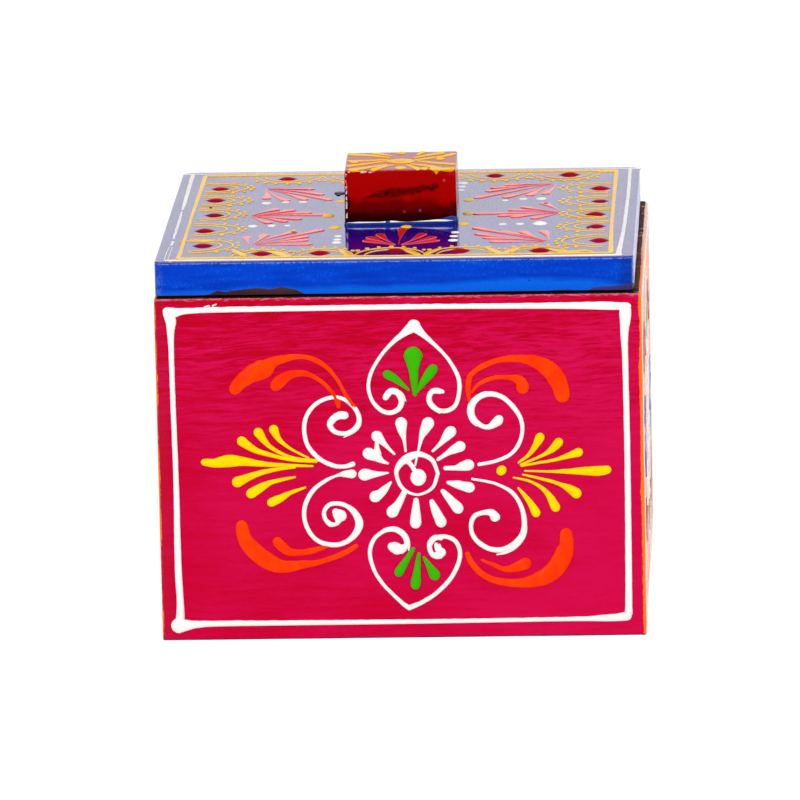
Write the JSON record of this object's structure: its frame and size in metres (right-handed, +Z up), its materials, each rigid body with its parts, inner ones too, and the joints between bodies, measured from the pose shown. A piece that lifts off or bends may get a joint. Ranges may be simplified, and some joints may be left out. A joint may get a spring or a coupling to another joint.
{
  "type": "lidded wooden box",
  "caption": "Small square painted wooden keepsake box with a loose lift-off lid, a block knob and raised-paint ornament; opens by lifting the lid off.",
  "frame": {"origin": "centre of the underside of the box", "axes": "+X to the right of the painted front, +Y to the back, +Z up; the front faces -Y"},
  "size_m": [0.1026, 0.1026, 0.0932],
  "materials": {
    "crimson_paint": "hand-brushed gloss paint on wood, faint brush marks",
    "orange_paint": "hand-brushed gloss paint on wood, faint brush marks",
    "blue_paint": "hand-brushed gloss paint on wood under varnish",
    "dark_red_paint": "hand-brushed gloss paint on wood under varnish",
    "stained_wood": "dark brown stain, open grain",
    "steel": "plain wire brads and wood screw",
    "white_cone_paint": "thick raised acrylic paint, wet look",
    "yellow_cone_paint": "thick raised acrylic paint, wet look",
    "orange_cone_paint": "thick raised acrylic paint, thin at its edges",
    "green_cone_paint": "thick raised acrylic paint, wet look",
    "blue_cone_paint": "thick raised acrylic paint, wet look",
    "crimson_cone_paint": "thick raised acrylic paint, wet look",
    "ruby_cone_paint": "raised drops of dark red paint under varnish",
    "red_cone_paint": "raised red paint under varnish",
    "gold_cone_paint": "raised golden yellow paint under varnish"
  },
  "bodies": {
    "box": {"front_wall": "crimson_paint", "back_wall": "crimson_paint", "left_wall": "orange_paint", "right_wall": "orange_paint", "bottom_board": "stained_wood", "wall_brads": "steel", "bottom_brads": "steel", "front_white_lines": "white_cone_paint", "front_yellow_plumes": "yellow_cone_paint", "front_orange_swooshes": "orange_cone_paint", "front_green_leaves": "green_cone_paint", "back_white_lines": "white_cone_paint", "back_yellow_plumes": "yellow_cone_paint", "back_orange_swooshes": "orange_cone_paint", "back_green_leaves": "green_cone_paint", "left_white_lines": "white_cone_paint", "left_blue_plumes": "blue_cone_paint", "left_crimson_swooshes": "crimson_cone_paint", "left_green_leaves": "green_cone_paint", "right_white_lines": "white_cone_paint", "right_blue_plumes": "blue_cone_paint", "right_crimson_swooshes": "crimson_cone_paint", "right_green_leaves": "green_cone_paint"},
    "lid": {"lid_board": "blue_paint", "lid_locating_board": "stained_wood", "lid_brads": "steel", "knob": "dark_red_paint", "knob_screw": "steel", "lid_white_lines": "white_cone_paint", "lid_yellow_scallops": "yellow_cone_paint", "lid_ruby_dots": "ruby_cone_paint", "lid_red_palmettes": "red_cone_paint", "knob_gold_sunburst": "gold_cone_paint"}
  },
  "joints": [
    {"name": "lid_lift", "type": "slide", "parent": "box", "child": "lid", "axis": [0, 0, 1], "range_m": [0, 0.06]}
  ]
}
